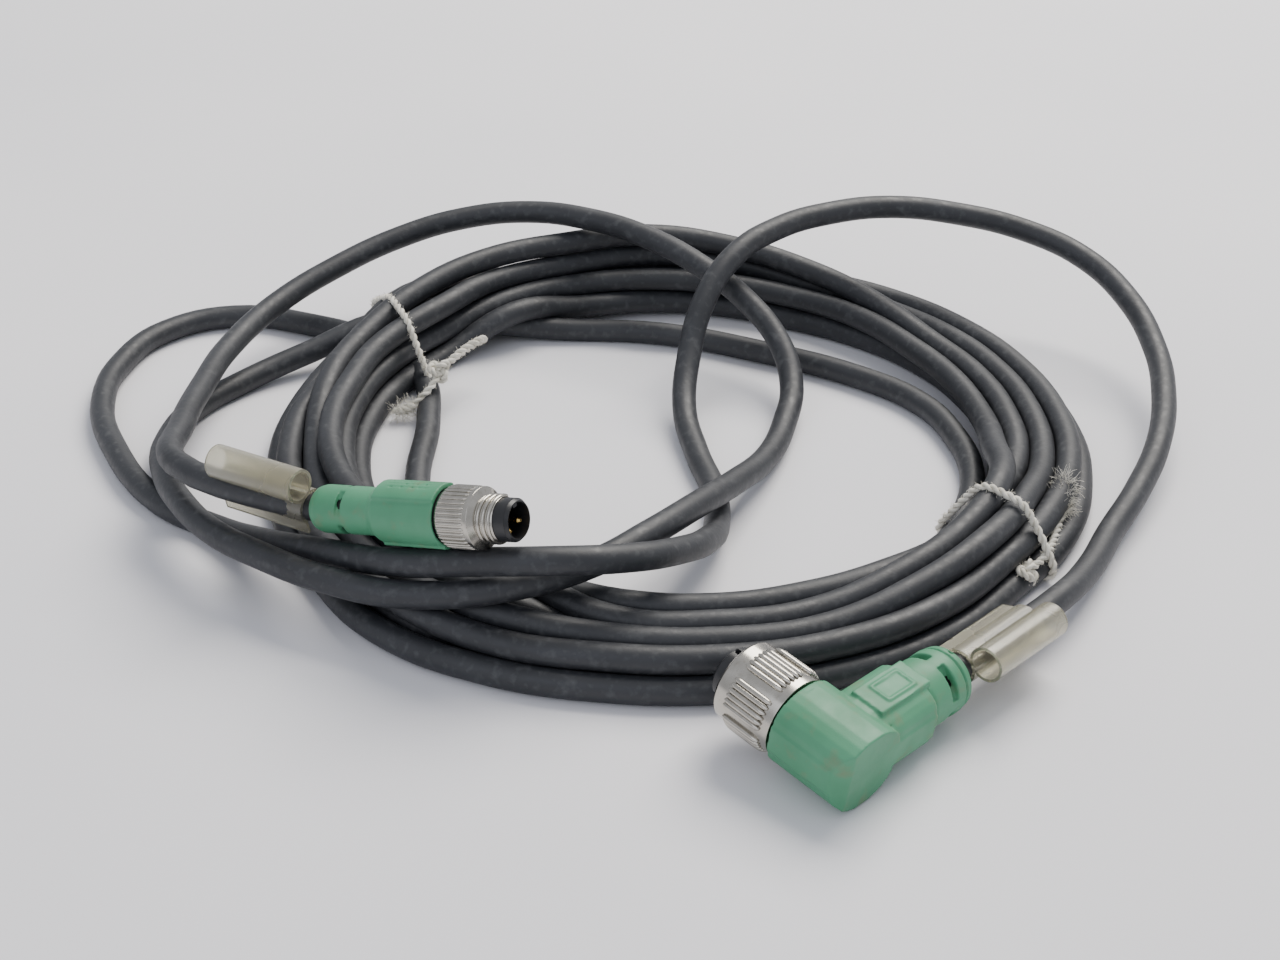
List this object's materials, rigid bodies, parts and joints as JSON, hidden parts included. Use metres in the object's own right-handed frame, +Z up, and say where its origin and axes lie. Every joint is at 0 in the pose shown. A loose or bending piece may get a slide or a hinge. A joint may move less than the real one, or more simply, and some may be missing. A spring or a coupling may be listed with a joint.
{
  "type": "sensor cordset",
  "caption": "Coiled round sensor cable with a straight M8 plug, an angled M12 socket, clip-on marker sleeves and string ties.",
  "frame": {"origin": "under the middle of the whole lay-out, on the surface it lies on", "axes": "+Z up, +X along the longest side of the lay-out, +Y away from the angled socket"},
  "size_m": [0.2096, 0.1794, 0.0301],
  "materials": {
    "cable_jacket": "matt extruded polyurethane jacket",
    "cotton_string": "twisted undyed cotton string",
    "grip_moulding": "matt green moulded polyurethane",
    "carrier_moulding": "black glass-filled polyamide",
    "nickel_plated_brass": "nickel plated turned brass",
    "seal_rubber": "moulded seal rubber",
    "gold_plated_contact": "gold plated copper alloy",
    "wire_brown": "brown conductor insulation",
    "wire_blue": "blue conductor insulation",
    "wire_black": "black conductor insulation",
    "clear_sleeve": "clear soft vinyl, yellowed with age"
  },
  "bodies": {
    "cordset": {"cable_coil": "cable_jacket", "cable_lead_m8": "cable_jacket", "cable_lead_m12": "cable_jacket", "string_tie_left": "cotton_string", "string_tie_right": "cotton_string", "m8_grip_body": "grip_moulding", "m8_core": "carrier_moulding", "m8_contact_carrier": "carrier_moulding", "m8_pin_1": "gold_plated_contact", "m8_pin_3": "gold_plated_contact", "m8_pin_4": "gold_plated_contact", "m8_wire_brown": "wire_brown", "m8_wire_blue": "wire_blue", "m8_wire_black": "wire_black", "m12_grip_body": "grip_moulding", "m12_core": "carrier_moulding", "m12_contact_insert": "carrier_moulding", "m12_seal_ring": "seal_rubber", "m12_contact_1": "gold_plated_contact", "m12_contact_3": "gold_plated_contact", "m12_contact_4": "gold_plated_contact", "m12_wire_brown": "wire_brown", "m12_wire_blue": "wire_blue", "m12_wire_black": "wire_black"},
    "m8_screw": {"m8_knurled_screw": "nickel_plated_brass"},
    "m12_nut": {"m12_knurled_nut": "nickel_plated_brass"},
    "m8_marker": {"m8_marker_sleeve": "clear_sleeve"},
    "m12_marker": {"m12_marker_sleeve": "clear_sleeve"}
  },
  "joints": [
    {"name": "m8_screw_turn", "type": "hinge", "parent": "cordset", "child": "m8_screw", "pos_m": [-0.02705, -0.04447, 0.02374], "axis": [0.8515, -0.469, 0.2345], "continuous": true},
    {"name": "m12_nut_turn", "type": "hinge", "parent": "cordset", "child": "m12_nut", "pos_m": [0.02542, -0.07638, 0.00871], "axis": [-0.698, 0.7024, 0.1391], "continuous": true},
    {"name": "m8_marker_slide", "type": "slide", "parent": "cordset", "child": "m8_marker", "axis": [-0.8473, 0.5295, -0.0417], "range_m": [0, 0.003]},
    {"name": "m12_marker_slide", "type": "slide", "parent": "cordset", "child": "m12_marker", "axis": [0.6892, 0.7237, -0.0345], "range_m": [0, 0.003]}
  ]
}
